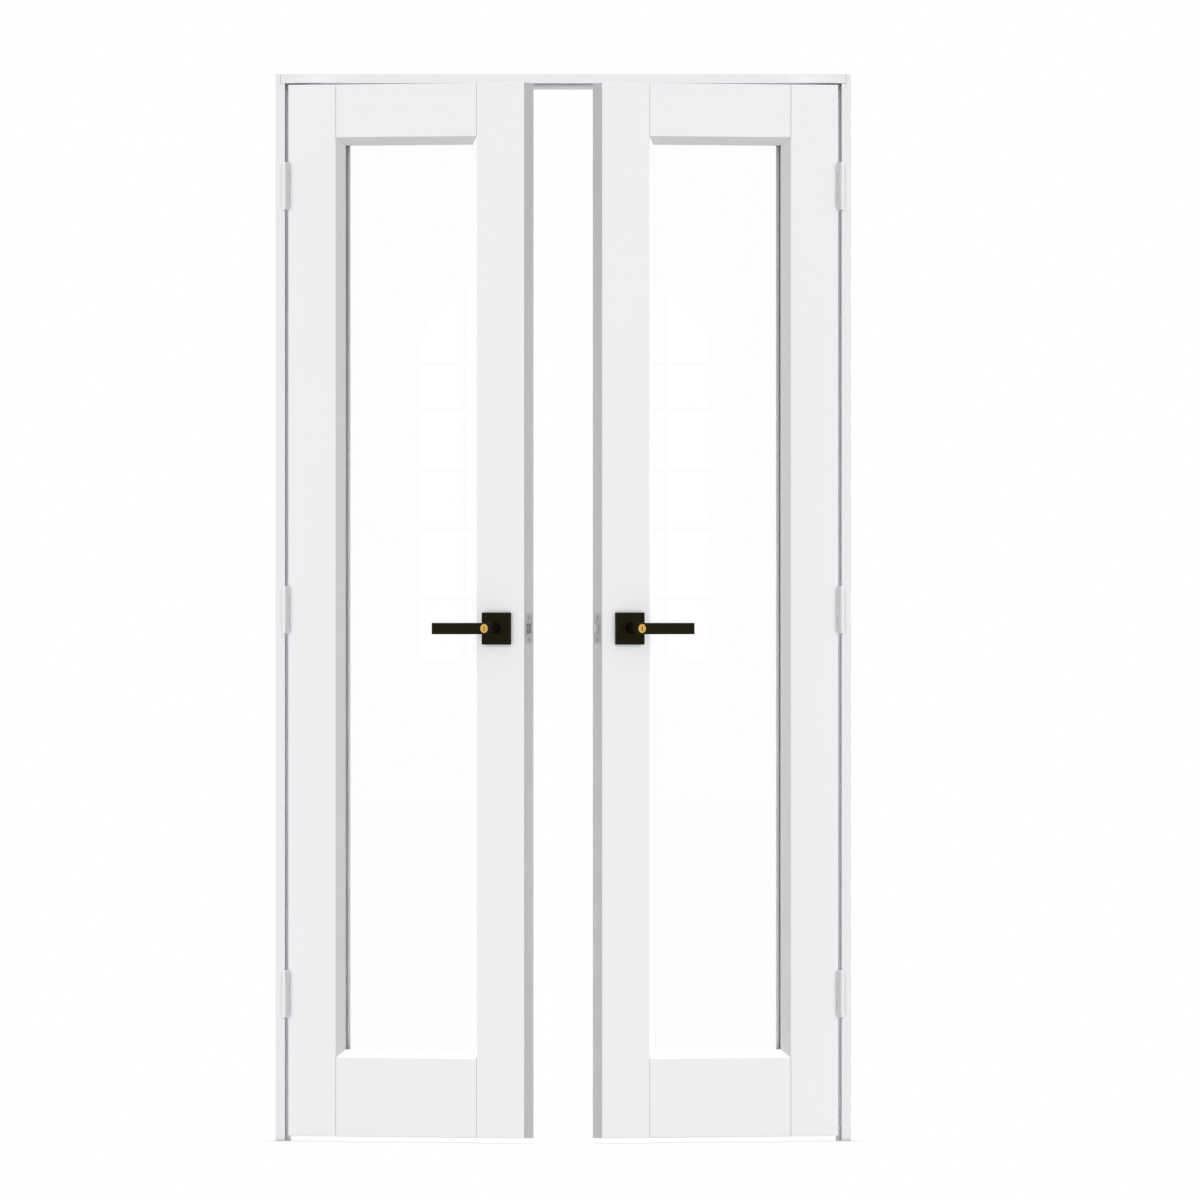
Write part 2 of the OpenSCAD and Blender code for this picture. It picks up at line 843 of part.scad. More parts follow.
turn_button(right);  // turn_button_right
lock_screws(right, 90);  // lock_screws_right
latch_case_right();
faceplate_right();
latch_bolt_right();
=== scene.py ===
import json
import math

import bpy
from mathutils import Matrix, Vector

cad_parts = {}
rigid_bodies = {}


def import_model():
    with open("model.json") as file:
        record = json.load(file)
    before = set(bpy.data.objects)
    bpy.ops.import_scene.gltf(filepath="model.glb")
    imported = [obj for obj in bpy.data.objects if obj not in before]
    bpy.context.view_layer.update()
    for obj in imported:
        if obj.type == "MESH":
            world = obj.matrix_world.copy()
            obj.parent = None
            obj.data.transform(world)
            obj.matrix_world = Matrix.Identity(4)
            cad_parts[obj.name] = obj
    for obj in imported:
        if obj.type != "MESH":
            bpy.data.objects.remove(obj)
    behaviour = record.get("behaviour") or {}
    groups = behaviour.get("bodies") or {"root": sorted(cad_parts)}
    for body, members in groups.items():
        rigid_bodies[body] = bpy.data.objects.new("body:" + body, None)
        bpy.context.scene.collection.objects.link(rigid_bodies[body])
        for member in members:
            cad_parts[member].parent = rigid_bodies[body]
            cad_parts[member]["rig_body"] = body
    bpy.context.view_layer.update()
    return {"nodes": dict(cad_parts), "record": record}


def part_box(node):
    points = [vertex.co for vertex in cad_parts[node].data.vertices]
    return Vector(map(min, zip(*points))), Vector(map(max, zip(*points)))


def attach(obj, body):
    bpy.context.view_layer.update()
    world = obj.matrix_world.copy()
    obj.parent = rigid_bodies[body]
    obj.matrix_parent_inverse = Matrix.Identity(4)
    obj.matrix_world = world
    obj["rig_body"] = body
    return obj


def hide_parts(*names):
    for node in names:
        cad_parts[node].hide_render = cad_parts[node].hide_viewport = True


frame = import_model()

scene = bpy.context.scene
bpy.ops.object.select_all(action="DESELECT")

# ---------------------------------------------------------------------------
# Camera. It stands far off on the side that the leaves swing to, level and
# square to the frame, so that the leaves' tops and bottoms stay almost level.
# ---------------------------------------------------------------------------
camera_distance = 60.0
framed_width = 2.315
camera_aim = Vector((0.071, -0.2, 1.046))

camera_data = bpy.data.cameras.new("camera")
camera_data.sensor_width = 36.0
camera_data.lens = camera_data.sensor_width * camera_distance / framed_width
camera_data.clip_start = 1.0
camera_data.clip_end = 200.0
camera = bpy.data.objects.new("camera", camera_data)
camera.location = camera_aim - Vector((0, camera_distance, 0))
camera.rotation_euler = (math.radians(90), 0, 0)
scene.collection.objects.link(camera)
scene.camera = camera

# ---------------------------------------------------------------------------
# Stiles, rails and glazing beads. Softwood, machined and glued up round
# dowels, with every arris eased, then sprayed with satin white paint that
# shows a fine peel and a trace of the grain under it.
# ---------------------------------------------------------------------------
body_of = {node: body for body, nodes in frame["record"]["behaviour"]["bodies"].items() for node in nodes}


def pick(piece):
    """Leaves this piece alone selected and active."""
    bpy.ops.object.select_all(action="DESELECT")
    piece.select_set(True)
    bpy.context.view_layer.objects.active = piece


def merged_copy(node):
    """A copy of a construction node, with its doubles merged and its flat faces whole."""
    piece = bpy.data.objects.new(node + "_finished", frame["nodes"][node].data.copy())
    scene.collection.objects.link(piece)
    pick(piece)
    bpy.ops.mesh.customdata_custom_splitnormals_clear()
    bpy.ops.object.mode_set(mode="EDIT")
    bpy.ops.mesh.select_all(action="SELECT")
    bpy.ops.mesh.remove_doubles(threshold=0.00001)
    bpy.ops.mesh.dissolve_limited(angle_limit=math.radians(0.5))
    bpy.ops.object.mode_set(mode="OBJECT")
    piece.data.materials.clear()
    return piece


def flats_kept(piece):
    """Shades the flats flat beside the rounds."""
    flats = piece.modifiers.new("flats", "WEIGHTED_NORMAL")
    flats.mode = "FACE_AREA"
    flats.weight = 100
    flats.keep_sharp = True
    bpy.ops.object.modifier_apply(modifier=flats.name)
    return piece


def eased(piece, width, segments=2, angle=28):
    """Rounds every edge sharper than the angle, and keeps the flats flat beside the rounds."""
    pick(piece)
    bevel = piece.modifiers.new("eased", "BEVEL")
    bevel.width = width
    bevel.segments = segments
    bevel.limit_method = "ANGLE"
    bevel.angle_limit = math.radians(angle)
    bevel.use_clamp_overlap = False
    bpy.ops.object.modifier_apply(modifier=bevel.name)
    bpy.ops.object.shade_smooth()
    return flats_kept(piece)


def fitted(piece, node, material):
    """The finished piece takes the node's place on its body, in its material."""
    piece.data.materials.append(material)
    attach(piece, body_of[node])
    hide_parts(node)
    return piece


def group_socket(group, name, direction, kind="NodeSocketFloat", value=None):
    socket = group.interface.new_socket(name=name, in_out=direction, socket_type=kind)
    if value is not None:
        socket.default_value = value
    return socket


def node_at(tree, kind, x, y, **settings):
    """A shader node at a place in its tree, with these settings and unlinked input values."""
    made = tree.nodes.new(kind)
    made.location = (x, y)
    for name, value in settings.items():
        if name in made.inputs:
            made.inputs[name].default_value = value
        else:
            setattr(made, name, value)
    return made


# Paint skin: the peel of sprayed paint, the grain under it, and a slow drift of tone.
paint_skin = bpy.data.node_groups.new("paint_skin", "ShaderNodeTree")
group_socket(paint_skin, "Position", "INPUT", "NodeSocketVector")
group_socket(paint_skin, "Grain Stretch", "INPUT", "NodeSocketVector")
group_socket(paint_skin, "Peel Scale", "INPUT", value=900.0)
group_socket(paint_skin, "Peel Height", "INPUT", value=0.00002)
group_socket(paint_skin, "Grain Height", "INPUT", value=0.00004)
group_socket(paint_skin, "Tone", "OUTPUT")
group_socket(paint_skin, "Gloss Drift", "OUTPUT")
group_socket(paint_skin, "Normal", "OUTPUT", "NodeSocketVector")
skin_in = node_at(paint_skin, "NodeGroupInput", -900, 0)
skin_out = node_at(paint_skin, "NodeGroupOutput", 500, 0)
peel = node_at(paint_skin, "ShaderNodeTexNoise", -500, 200, Detail=2.0, Roughness=0.5)
stretch = node_at(paint_skin, "ShaderNodeVectorMath", -700, -50, operation="MULTIPLY")
grain = node_at(paint_skin, "ShaderNodeTexNoise", -500, -50, Scale=1.0, Detail=5.0, Roughness=0.6)
drift = node_at(paint_skin, "ShaderNodeTexNoise", -500, -300, Scale=3.0, Detail=2.0)
peel_bump = node_at(paint_skin, "ShaderNodeBump", -100, 200, Strength=0.35)
grain_bump = node_at(paint_skin, "ShaderNodeBump", 150, 100, Strength=0.5)
for source, target in (
    (skin_in.outputs["Position"], peel.inputs["Vector"]),
    (skin_in.outputs["Peel Scale"], peel.inputs["Scale"]),
    (skin_in.outputs["Position"], stretch.inputs[0]),
    (skin_in.outputs["Grain Stretch"], stretch.inputs[1]),
    (stretch.outputs["Vector"], grain.inputs["Vector"]),
    (skin_in.outputs["Position"], drift.inputs["Vector"]),
    (peel.outputs["Fac"], peel_bump.inputs["Height"]),
    (skin_in.outputs["Peel Height"], peel_bump.inputs["Distance"]),
    (grain.outputs["Fac"], grain_bump.inputs["Height"]),
    (skin_in.outputs["Grain Height"], grain_bump.inputs["Distance"]),
    (peel_bump.outputs["Normal"], grain_bump.inputs["Normal"]),
    (drift.outputs["Fac"], skin_out.inputs["Tone"]),
    (peel.outputs["Fac"], skin_out.inputs["Gloss Drift"]),
    (grain_bump.outputs["Normal"], skin_out.inputs["Normal"]),
):
    paint_skin.links.new(source, target)


# Painted corner shade: ambient occlusion gives 1 where a surface lies open, falling to 0 in its corners and
# slots, where the colour is painted darker.
painted_corner_shade = bpy.data.node_groups.new("painted_corner_shade", "ShaderNodeTree")
group_socket(painted_corner_shade, "Reach", "INPUT", value=0.012)
group_socket(painted_corner_shade, "Open From", "INPUT", value=0.85)
group_socket(painted_corner_shade, "Open", "OUTPUT")
corner_shade_in = node_at(painted_corner_shade, "NodeGroupInput", -600, 0)
corner_shade_out = node_at(painted_corner_shade, "NodeGroupOutput", 300, 0)
shelter = node_at(painted_corner_shade, "ShaderNodeAmbientOcclusion", -350, 0, samples=6)
opened = node_at(painted_corner_shade, "ShaderNodeMapRange", 0, 0)
opened.inputs["From Min"].default_value = 0.2
painted_corner_shade.links.new(corner_shade_in.outputs["Reach"], shelter.inputs["Distance"])
painted_corner_shade.links.new(shelter.outputs["AO"], opened.inputs["Value"])
painted_corner_shade.links.new(corner_shade_in.outputs["Open From"], opened.inputs["From Max"])
painted_corner_shade.links.new(opened.outputs["Result"], corner_shade_out.inputs["Open"])


def with_corner_shade(tree, tone, deepest, reach, open_from, x, y):
    """The tone, darkened toward the deepest colour in the corners within this reach: painted shade."""
    corner_shade = node_at(tree, "ShaderNodeGroup", x - 200, y + 150, node_tree=painted_corner_shade)
    corner_shade.inputs["Reach"].default_value = reach
    corner_shade.inputs["Open From"].default_value = open_from
    mix = node_at(tree, "ShaderNodeMix", x, y, data_type="RGBA")
    mix.inputs[6].default_value = (*deepest, 1)
    tree.links.new(tone, mix.inputs[7])
    tree.links.new(corner_shade.outputs["Open"], mix.inputs["Factor"])
    return mix.outputs[2]


def new_material(name):
    """An empty material, its Principled shader joined to its output, and Object coordinates."""
    material = bpy.data.materials.new(name)
    material.use_nodes = True
    tree = material.node_tree
    tree.nodes.clear()
    output = node_at(tree, "ShaderNodeOutputMaterial", 600, 0)
    shader = node_at(tree, "ShaderNodeBsdfPrincipled", 250, 0)
    tree.links.new(shader.outputs["BSDF"], output.inputs["Surface"])
    place = node_at(tree, "ShaderNodeTexCoord", -900, 0)
    return material, tree, shader, place.outputs["Object"]


def map_range(tree, source, low, high, x, y, start=0.3, end=0.7):
    """The source between start and end, spread from low to high."""
    spread = node_at(tree, "ShaderNodeMapRange", x, y)
    spread.inputs["From Min"].default_value = start
    spread.inputs["From Max"].default_value = end
    spread.inputs["To Min"].default_value = low
    spread.inputs["To Max"].default_value = high
    tree.links.new(source, spread.inputs["Value"])
    return spread.outputs["Result"]


def two_tones(tree, mask, first, second, x, y):
    """A colour that turns from the first to the second as the mask rises."""
    mix = node_at(tree, "ShaderNodeMix", x, y, data_type="RGBA")
    mix.inputs[6].default_value = (*first, 1)
    mix.inputs[7].default_value = (*second, 1)
    tree.links.new(mask, mix.inputs["Factor"])
    return mix.outputs[2]


def sprayed_white(name, grain_stretch, light, shade, reach=0.012, deepest=0.4, open_from=0.85):
    """Satin white paint over timber whose grain runs where the stretch is least.

    Corners are painted darker, a painted shade, down to the deepest share of the tone within this reach.
    """
    material, tree, shader, place = new_material(name)
    skin = node_at(tree, "ShaderNodeGroup", -600, 0, node_tree=paint_skin)
    skin.inputs["Grain Stretch"].default_value = grain_stretch
    tree.links.new(place, skin.inputs["Position"])
    tone = two_tones(tree, skin.outputs["Tone"], shade, light, -300, 200)
    # Painted shade: corners found by ambient occlusion take this darker colour
    shade_colour = tuple(deepest * part for part in shade)
    shaded_tone = with_corner_shade(tree, tone, shade_colour, reach, open_from, 0, 250)
    roughness = map_range(tree, skin.outputs["Gloss Drift"], 0.42, 0.56, -300, -50)
    tree.links.new(shaded_tone, shader.inputs["Base Color"])
    tree.links.new(roughness, shader.inputs["Roughness"])
    tree.links.new(skin.outputs["Normal"], shader.inputs["Normal"])
    shader.inputs["Specular IOR Level"].default_value = 0.18
    return material


white_light = (0.86, 0.86, 0.878)
white_shade = (0.845, 0.845, 0.865)
grain_up = (260.0, 260.0, 5.0)
grain_across = (8.0, 8.0, 260.0)
upright_white = sprayed_white("sprayed_white_upright", grain_up, white_light, white_shade)
level_white = sprayed_white("sprayed_white_level", grain_across, white_light, white_shade)
# The beads meet the glass in a deeper corner, so their painted corner shade reaches further out and goes
# darker
bead_reach = 0.03
bead_deepest = 0.3
bead_open = 1.0
bead_upright = sprayed_white(
    "bead_upright", grain_up, white_light, white_shade, bead_reach, bead_deepest, bead_open
)
bead_level = sprayed_white(
    "bead_level", grain_across, white_light, white_shade, bead_reach, bead_deepest, bead_open
)
arris = 0.0006

for hand in ("left", "right"):
    for node, paint in (
        ("hinge_stile_" + hand, upright_white),
        ("lock_stile_" + hand, upright_white),
        ("top_rail_" + hand, level_white),
        ("bottom_rail_" + hand, level_white),
        ("side_beads_" + hand, bead_upright),
        ("cross_beads_" + hand, bead_level),
    ):
        fitted(eased(merged_copy(node), arris), node, paint)

# ---------------------------------------------------------------------------
# Frame. Jambs, a head housed in their tops, and planted stops, in the same
# painted softwood as the leaves.
# ---------------------------------------------------------------------------
frame_arris = 0.001
for node in ("jamb_left", "jamb_right", "stop_left", "stop_right"):
    fitted(eased(merged_copy(node), frame_arris), node, upright_white)
for node in ("head", "stop_head"):
    fitted(eased(merged_copy(node), frame_arris), node, level_white)

# ---------------------------------------------------------------------------
# Glass. One clear float pane to a leaf, 4 mm thick, with ground edges, lying
# between two rings of white foam tape that stay back from the sight line.
# ---------------------------------------------------------------------------
clear_pane, tree, shader, place = new_material("clear_pane")
ripple = node_at(tree, "ShaderNodeTexNoise", -600, -200, Scale=2.5, Detail=1.0)
ripple_bump = node_at(tree, "ShaderNodeBump", -200, -200, Strength=0.1, Distance=0.00002)
tree.links.new(place, ripple.inputs["Vector"])
tree.links.new(ripple.outputs["Fac"], ripple_bump.inputs["Height"])
tree.links.new(ripple_bump.outputs["Normal"], shader.inputs["Normal"])
shader.inputs["Base Color"].default_value = (0.992, 0.994, 0.993, 1)
shader.inputs["Roughness"].default_value = 0.0
shader.inputs["IOR"].default_value = 1.45
shader.inputs["Transmission Weight"].default_value = 1.0
# Lamps shine straight through, as they do through a real pane
lamp_ray = node_at(tree, "ShaderNodeLightPath", 0, 400)
through = node_at(tree, "ShaderNodeBsdfTransparent", 250, 150)
through.inputs["Color"].default_value = (0.95, 0.97, 0.96, 1)
either = node_at(tree, "ShaderNodeMixShader", 450, 100)
output = next(n for n in tree.nodes if n.type == "OUTPUT_MATERIAL")
tree.links.new(lamp_ray.outputs["Is Shadow Ray"], either.inputs["Fac"])
tree.links.new(shader.outputs["BSDF"], either.inputs[1])
tree.links.new(through.outputs["BSDF"], either.inputs[2])
tree.links.new(either.outputs["Shader"], output.inputs["Surface"])

foam_tape, tree, shader, place = new_material("foam_tape")
cells = node_at(tree, "ShaderNodeTexVoronoi", -600, 0, Scale=2500.0)
tree.links.new(place, cells.inputs["Vector"])
foam_colour = two_tones(tree, cells.outputs["Distance"], (0.7, 0.7, 0.7), (0.84, 0.84, 0.84), -300, 100)
foam_bump = node_at(tree, "ShaderNodeBump", -200, -200, Strength=0.5, Distance=0.0001)
tree.links.new(cells.outputs["Distance"], foam_bump.inputs["Height"])
tree.links.new(foam_colour, shader.inputs["Base Color"])
tree.links.new(foam_bump.outputs["Normal"], shader.inputs["Normal"])
shader.inputs["Roughness"].default_value = 0.9

ground_edge = 0.0003
for hand in ("left", "right"):
    fitted(eased(merged_copy("glass_" + hand), ground_edge, 1), "glass_" + hand, clear_pane)
    fitted(merged_copy("glazing_tape_" + hand), "glazing_tape_" + hand, foam_tape)

# ---------------------------------------------------------------------------
# Dowels. Bare beech, turned and chamfered at both ends, glued into the rail
# joints where they are out of sight.
# ---------------------------------------------------------------------------
bare_beech, tree, shader, place = new_material("bare_beech")
rings = node_at(tree, "ShaderNodeTexWave", -600, 0, Scale=180.0, Distortion=3.0, Detail=3.0)
tree.links.new(place, rings.inputs["Vector"])
beech_colour = two_tones(tree, rings.outputs["Fac"], (0.62, 0.42, 0.25), (0.74, 0.55, 0.36), -300, 0)
tree.links.new(beech_colour, shader.inputs["Base Color"])
tree.links.new(map_range(tree, rings.outputs["Fac"], 0.6, 0.75, -300, -200), shader.inputs["Roughness"])

dowel_chamfer = 0.0008
for hand in ("left", "right"):
    fitted(eased(merged_copy("dowels_" + hand), dowel_chamfer, 1), "dowels_" + hand, bare_beech)

# ---------------------------------------------------------------------------
# Screws. Countersunk steel with a cross recess and a rolled thread, zinc
# plated. They hold the hinges, the head, the edge plates and the roses.
# ---------------------------------------------------------------------------
satin_grain = bpy.data.node_groups.new("satin_grain", "ShaderNodeTree")
group_socket(satin_grain, "Position", "INPUT", "NodeSocketVector")
group_socket(satin_grain, "Line Stretch", "INPUT", "NodeSocketVector")
group_socket(satin_grain, "Line Height", "INPUT", value=0.00001)
group_socket(satin_grain, "Lines", "OUTPUT")
group_socket(satin_grain, "Cloud", "OUTPUT")
group_socket(satin_grain, "Normal", "OUTPUT", "NodeSocketVector")
grain_in = node_at(satin_grain, "NodeGroupInput", -900, 0)
grain_out = node_at(satin_grain, "NodeGroupOutput", 300, 0)
line_stretch = node_at(satin_grain, "ShaderNodeVectorMath", -700, 0, operation="MULTIPLY")
lines = node_at(satin_grain, "ShaderNodeTexNoise", -450, 0, Scale=1.0, Detail=3.0)
cloud = node_at(satin_grain, "ShaderNodeTexNoise", -450, -300, Scale=60.0, Detail=3.0)
line_bump = node_at(satin_grain, "ShaderNodeBump", 0, 0, Strength=0.4)
for source, target in (
    (grain_in.outputs["Position"], line_stretch.inputs[0]),
    (grain_in.outputs["Line Stretch"], line_stretch.inputs[1]),
    (line_stretch.outputs["Vector"], lines.inputs["Vector"]),
    (grain_in.outputs["Position"], cloud.inputs["Vector"]),
    (lines.outputs["Fac"], line_bump.inputs["Height"]),
    (grain_in.outputs["Line Height"], line_bump.inputs["Distance"]),
    (lines.outputs["Fac"], grain_out.inputs["Lines"]),
    (cloud.outputs["Fac"], grain_out.inputs["Cloud"]),
    (line_bump.outputs["Normal"], grain_out.inputs["Normal"]),
):
    satin_grain.links.new(source, target)


def brushed_metal(name, dark, light, stretch, rough, metallic=1.0):
    """Metal with fine lines left by its finishing, along the axis of least stretch."""
    material, tree, shader, place = new_material(name)
    brushed = node_at(tree, "ShaderNodeGroup", -600, 0, node_tree=satin_grain)
    brushed.inputs["Line Stretch"].default_value = stretch
    tree.links.new(place, brushed.inputs["Position"])
    tone = two_tones(tree, brushed.outputs["Cloud"], dark, light, -300, 150)
    roughness = map_range(tree, brushed.outputs["Lines"], *rough, -300, -100)
    tree.links.new(tone, shader.inputs["Base Color"])
    tree.links.new(roughness, shader.inputs["Roughness"])
    tree.links.new(brushed.outputs["Normal"], shader.inputs["Normal"])
    shader.inputs["Metallic"].default_value = metallic
    return material


zinc_plate = brushed_metal(
    "zinc_plate", (0.5, 0.5, 0.5), (0.66, 0.66, 0.65), (900.0, 900.0, 900.0), (0.28, 0.42)
)


def turned_screw(length, head_radius, head_height, shank_radius):
    """A countersunk screw with its head's face at the origin, pointing down -Z."""
    bpy.ops.object.select_all(action="DESELECT")
    bpy.ops.mesh.primitive_circle_add(vertices=20, radius=head_radius, fill_type="NGON")
    screw = bpy.context.active_object
    bpy.ops.object.mode_set(mode="EDIT")
    bpy.ops.mesh.select_all(action="SELECT")
    # Each ring is a radius and its depth below the face of the head
    pitch = shank_radius * 0.8
    root = shank_radius * 0.78
    rings = [(head_radius, 0.1 * head_height), (root, head_height)]
    depth = head_height + pitch
    while depth < length - 2.5 * pitch:
        rings += [(root, depth), (shank_radius, depth + 0.3 * pitch), (root, depth + 0.6 * pitch)]
        depth += pitch
    rings += [(root, length - 1.5 * pitch), (root * 0.2, length)]
    radius_before, depth_before = head_radius, 0.0
    for radius, depth in rings:
        step = (0, 0, depth_before - depth)
        bpy.ops.mesh.extrude_region_move(TRANSFORM_OT_translate={"value": step})
        share = radius / radius_before
        bpy.ops.transform.resize(value=(share, share, 1))
        radius_before, depth_before = radius, depth
    bpy.ops.mesh.select_all(action="SELECT")
    bpy.ops.mesh.normals_make_consistent(inside=False)
    bpy.ops.object.mode_set(mode="OBJECT")
    # Two blades cross to cut the recess: length, thickness and twice its depth
    blade = (head_radius * 1.15, head_radius * 0.24, head_height * 1.5)
    for turn in (0, 90):
        bpy.ops.mesh.primitive_cube_add(size=1, rotation=(0, 0, math.radians(turn)))
        cutter = bpy.context.active_object
        cutter.scale = blade
        bpy.ops.object.transform_apply(location=False, rotation=True, scale=True)
        pick(screw)
        recess = screw.modifiers.new("recess", "BOOLEAN")
        recess.operation = "DIFFERENCE"
        recess.object = cutter
        bpy.ops.object.modifier_apply(modifier=recess.name)
        bpy.data.objects.remove(cutter)
    return screw


def loose_parts(node):
    """Where each separate solid of a node lies: its points, as lists of vectors."""
    merged_copy(node)
    bpy.ops.mesh.separate(type="LOOSE")
    parts = list(bpy.context.selected_objects)
    places = [[v.co.copy() for v in part.data.vertices] for part in parts]
    for part in parts:
        bpy.data.objects.remove(part)
    return places


def screw_place(points, along):
    """The middle of the head's face, the way to the point, the length and the head's radius."""
    heights = [p.dot(along) for p in points]
    low, high = min(heights), max(heights)
    near_end = 0.00002
    ends = [[p for p, h in zip(points, heights) if abs(h - end) < near_end] for end in (low, high)]
    middles = [sum(end, Vector()) / len(end) for end in ends]
    widths = [max((p - middle).length for p in end) for end, middle in zip(ends, middles)]
    head = 0 if widths[0] > widths[1] else 1
    return middles[head], (middles[1 - head] - middles[head]).normalized(), high - low, widths[head]


def across_leaf(hand):
    """Along the width of a leaf, from its hinges to its meeting edge, at rest."""
    low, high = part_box("glass_" + hand)
    run = Vector((high.x - low.x, high.y - low.y, 0))
    pane_thickness = 0.004
    turn = math.atan2(run.y, run.x)
    # The pane's box is wider than the pane by its thickness at the turned ends
    for _ in range(20):
        turn = math.atan2(run.y - pane_thickness * math.cos(turn), run.x - pane_thickness * math.sin(turn))
    side = 1 if hand == "left" else -1
    return Vector((side * math.cos(turn), -math.sin(turn), 0))


def through_leaf(hand):
    """Through the thickness of a leaf, from its front face to its back."""
    along = across_leaf(hand)
    return Vector((-along.y, along.x, 0)) if hand == "left" else Vector((along.y, -along.x, 0))


def screws_in_place(node, axes):
    """A screw for each solid of a node. It lies along the axis that the solid is longest on."""
    countersink_depth = 0.47
    shank_share = 0.53
    made = []
    patterns = {}
    for points in loose_parts(node):
        spans = [max(p.dot(a) for p in points) - min(p.dot(a) for p in points) for a in axes]
        along = axes[spans.index(max(spans))]
        head, pointing, length, head_radius = screw_place(points, along)
        key = round(length, 4)
        if key not in patterns:
            patterns[key] = turned_screw(
                length, head_radius, head_radius * countersink_depth, head_radius * shank_share
            )
        screw = patterns[key].copy()
        screw.data = patterns[key].data.copy()
        scene.collection.objects.link(screw)
        lie = pointing.to_track_quat("-Z", "Y").to_matrix().to_4x4()
        screw.data.transform(Matrix.Translation(head) @ lie)
        made.append(screw)
    for pattern in patterns.values():
        bpy.data.objects.remove(pattern)
    pick(made[0])
    for screw in made:
        screw.select_set(True)
    bpy.ops.object.join()
    made[0].name = node + "_finished"
    bpy.ops.object.shade_smooth_by_angle(angle=math.radians(35))
    return fitted(made[0], node, zinc_plate)


across_frame = Vector((1, 0, 0))
screws_in_place("frame_screws", [across_frame])
for hand in ("left", "right"):
    screws_in_place("hinge_frame_screws_" + hand, [across_frame])
    screws_in_place("hinge_leaf_screws_" + hand, [across_leaf(hand)])
    screws_in_place("lock_screws_" + hand, [across_leaf(hand), through_leaf(hand)])

# ---------------------------------------------------------------------------
# Hinges. Pressed and rolled steel butts on loose pins with button heads,
# powder coated white to match the paint.
# ---------------------------------------------------------------------------
powder_white, tree, shader, place = new_material("powder_white")
skin = node_at(tree, "ShaderNodeGroup", -600, 0, node_tree=paint_skin)
skin.inputs["Grain Stretch"].default_value = (900.0, 900.0, 900.0)
skin.inputs["Peel Scale"].default_value = 2200.0
skin.inputs["Peel Height"].default_value = 0.00004
tree.links.new(place, skin.inputs["Position"])
powder_colour = two_tones(tree, skin.outputs["Tone"], (0.8, 0.8, 0.815), (0.85, 0.85, 0.865), -300, 100)
powder_rough = map_range(tree, skin.outputs["Gloss Drift"], 0.3, 0.42, -300, -100)
tree.links.new(powder_colour, shader.inputs["Base Color"])
tree.links.new(powder_rough, shader.inputs["Roughness"])
tree.links.new(skin.outputs["Normal"], shader.inputs["Normal"])

for hand in ("left", "right"):
    for node, width in (
        ("hinge_frame_plates_" + hand, 0.0003),
        ("hinge_leaf_plates_" + hand, 0.0003),
        ("hinge_pins_" + hand, 0.0009),
    ):
        fitted(eased(merged_copy(node), width), node, powder_white)

# ---------------------------------------------------------------------------
# Roses, levers and turn buttons. Cast zinc in a dark bronze finish, sharp and
# square, with a painted highlight that makes the edges a little lighter.
# ---------------------------------------------------------------------------
# Painted highlight: a mask that is 1 on rounded edges, where the bronze is coloured lighter
edge_highlight = bpy.data.node_groups.new("edge_highlight", "ShaderNodeTree")
group_socket(edge_highlight, "Width", "INPUT", value=0.0015)
group_socket(edge_highlight, "Edge", "OUTPUT")
highlight_in = node_at(edge_highlight, "NodeGroupInput", -900, 0)
highlight_out = node_at(edge_highlight, "NodeGroupOutput", 300, 0)
rounded = node_at(edge_highlight, "ShaderNodeBevel", -600, 0, samples=6)
surface = node_at(edge_highlight, "ShaderNodeNewGeometry", -600, -200)
agree = node_at(edge_highlight, "ShaderNodeVectorMath", -350, 0, operation="DOT_PRODUCT")
edge_highlight.links.new(highlight_in.outputs["Width"], rounded.inputs["Radius"])
edge_highlight.links.new(rounded.outputs["Normal"], agree.inputs[0])
edge_highlight.links.new(surface.outputs["Normal"], agree.inputs[1])
edge_mask = map_range(edge_highlight, agree.outputs["Value"], 1.0, 0.0, -100, 0, 0.75, 0.98)
edge_highlight.links.new(edge_mask, highlight_out.inputs["Edge"])

dark_bronze, tree, shader, place = new_material("dark_bronze")
brushed = node_at(tree, "ShaderNodeGroup", -700, 0, node_tree=satin_grain)
brushed.inputs["Line Stretch"].default_value = (40.0, 40.0, 1400.0)
brushed.inputs["Line Height"].default_value = 0.000006
tree.links.new(place, brushed.inputs["Position"])
highlight_edges = node_at(tree, "ShaderNodeGroup", -700, 300, node_tree=edge_highlight)
bronze_dark = (0.0105, 0.0083, 0.0024)
bronze_light = (0.0165, 0.0132, 0.0044)
body_tone = two_tones(tree, brushed.outputs["Cloud"], bronze_dark, bronze_light, -400, 100)
# The edges take a lighter colour here: a painted highlight
edge_highlight_tone = node_at(tree, "ShaderNodeMix", -100, 200, data_type="RGBA")
edge_highlight_tone.inputs[7].default_value = (0.07, 0.058, 0.032, 1)
tree.links.new(highlight_edges.outputs["Edge"], edge_highlight_tone.inputs["Factor"])
tree.links.new(body_tone, edge_highlight_tone.inputs[6])
tree.links.new(edge_highlight_tone.outputs[2], shader.inputs["Base Color"])
tree.links.new(map_range(tree, brushed.outputs["Lines"], 0.4, 0.55, -400, -200), shader.inputs["Roughness"])
tree.links.new(brushed.outputs["Normal"], shader.inputs["Normal"])
shader.inputs["Metallic"].default_value = 0.5
shader.inputs["Specular IOR Level"].default_value = 0.07


